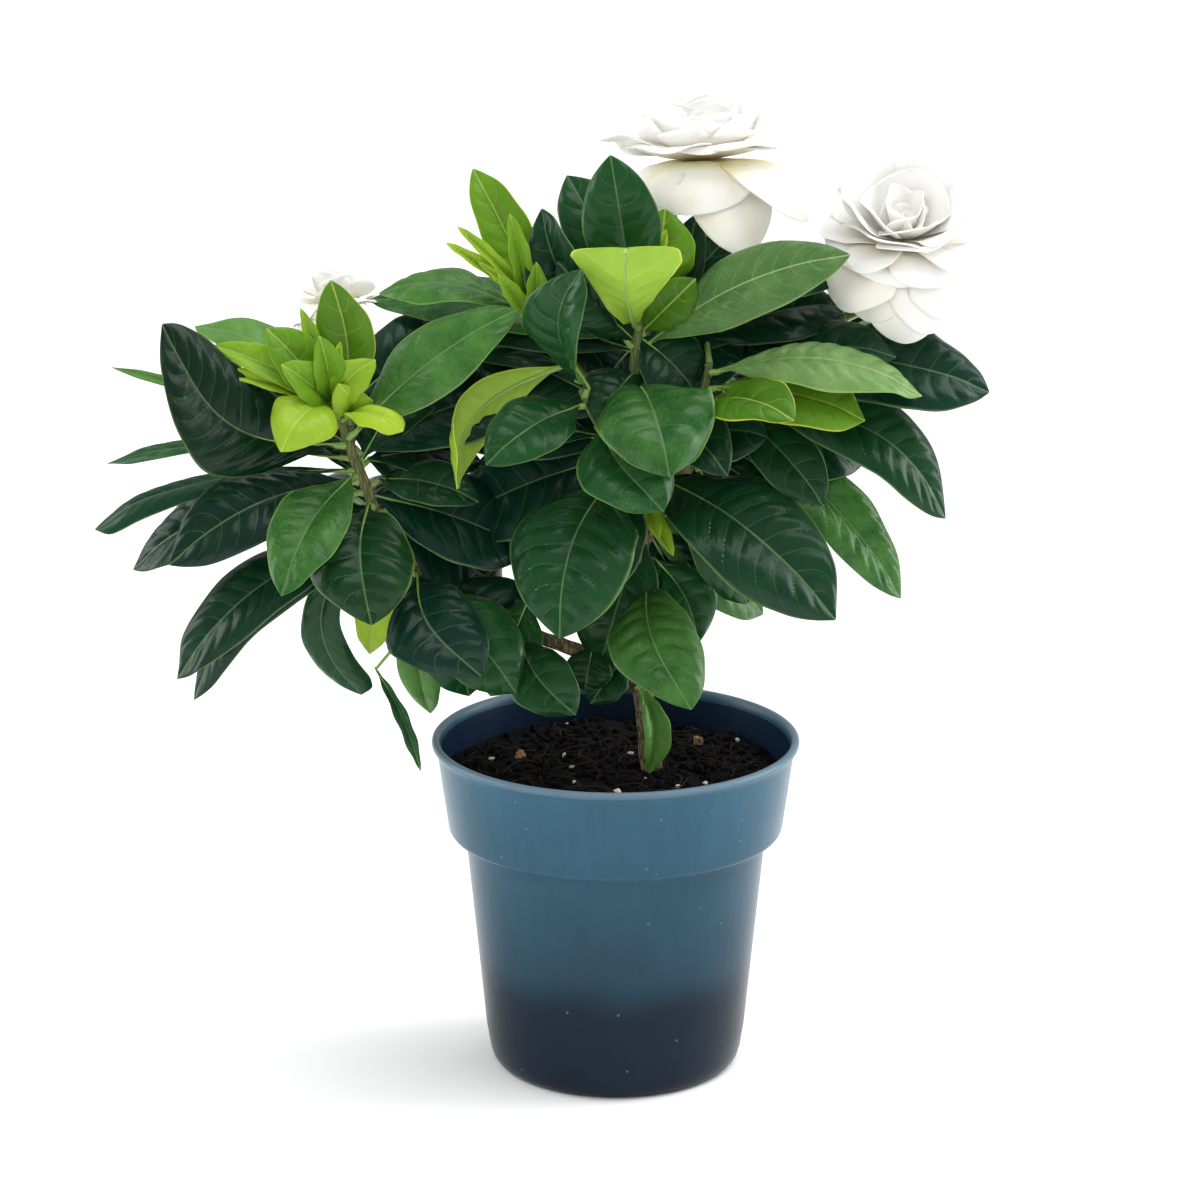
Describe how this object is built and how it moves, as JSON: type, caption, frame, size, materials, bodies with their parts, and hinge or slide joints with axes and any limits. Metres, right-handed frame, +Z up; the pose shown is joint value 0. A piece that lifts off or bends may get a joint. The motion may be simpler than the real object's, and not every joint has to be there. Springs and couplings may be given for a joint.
{
  "type": "potted gardenia",
  "caption": "Flowering gardenia shrub in a tapered plastic nursery pot, with glossy leaves on branching woody stems and double creamy white blooms.",
  "frame": {"origin": "centre of the pot's flat underside, on the surface that the pot stands on and on the pot's axis", "axes": "+Z up along the pot's axis; -Y towards the plant's fuller side; +X to the right when facing that side, where the two large flowers are"},
  "size_m": [0.3094, 0.13, 0.3435],
  "materials": {
    "pot_plastic": "satin",
    "peat": "rough",
    "bark": "matte",
    "mature_leaf": "glossy",
    "young_leaf": "satin",
    "calyx": "satin",
    "petal": "matte"
  },
  "bodies": {
    "root": {"pot": "pot_plastic", "soil": "peat", "stems": "bark", "leaf_left_01": "mature_leaf", "leaf_left_02": "mature_leaf", "leaf_left_03": "mature_leaf", "leaf_left_04": "young_leaf", "leaf_left_05": "young_leaf", "leaf_left_06": "young_leaf", "leaf_left_07": "mature_leaf", "leaf_left_08": "mature_leaf", "leaf_left_09": "mature_leaf", "leaf_left_10": "mature_leaf", "leaf_left_11": "mature_leaf", "leaf_left_12": "mature_leaf", "leaf_left_13": "mature_leaf", "leaf_left_14": "mature_leaf", "leaf_left_15": "mature_leaf", "leaf_left_16": "mature_leaf", "leaf_low_01": "mature_leaf", "leaf_low_02": "mature_leaf", "leaf_low_03": "mature_leaf", "leaf_low_04": "mature_leaf", "leaf_low_05": "mature_leaf", "leaf_low_06": "mature_leaf", "leaf_front_01": "mature_leaf", "leaf_front_02": "mature_leaf", "leaf_front_03": "mature_leaf", "leaf_front_04": "young_leaf", "leaf_front_05": "mature_leaf", "leaf_right_01": "young_leaf", "leaf_right_02": "young_leaf", "leaf_right_03": "mature_leaf", "leaf_right_04": "mature_leaf", "leaf_right_05": "mature_leaf", "leaf_right_06": "mature_leaf", "leaf_right_07": "mature_leaf", "leaf_top_01": "young_leaf", "leaf_top_02": "mature_leaf", "leaf_top_03": "mature_leaf", "leaf_top_04": "young_leaf", "leaf_top_05": "young_leaf", "leaf_top_06": "mature_leaf", "leaf_back_01": "mature_leaf", "leaf_back_02": "mature_leaf", "leaf_back_03": "mature_leaf", "leaf_back_04": "mature_leaf", "leaf_back_05": "mature_leaf", "leaf_back_06": "mature_leaf", "top_flower_calyx": "calyx", "top_flower_lower_petals": "petal", "top_flower_middle_petals": "petal", "top_flower_upper_petals": "petal", "right_flower_calyx": "calyx", "right_flower_lower_petals": "petal", "right_flower_middle_petals": "petal", "right_flower_upper_petals": "petal", "left_flower_calyx": "calyx", "left_flower_lower_petals": "petal", "left_flower_upper_petals": "petal"}
  },
  "joints": []
}
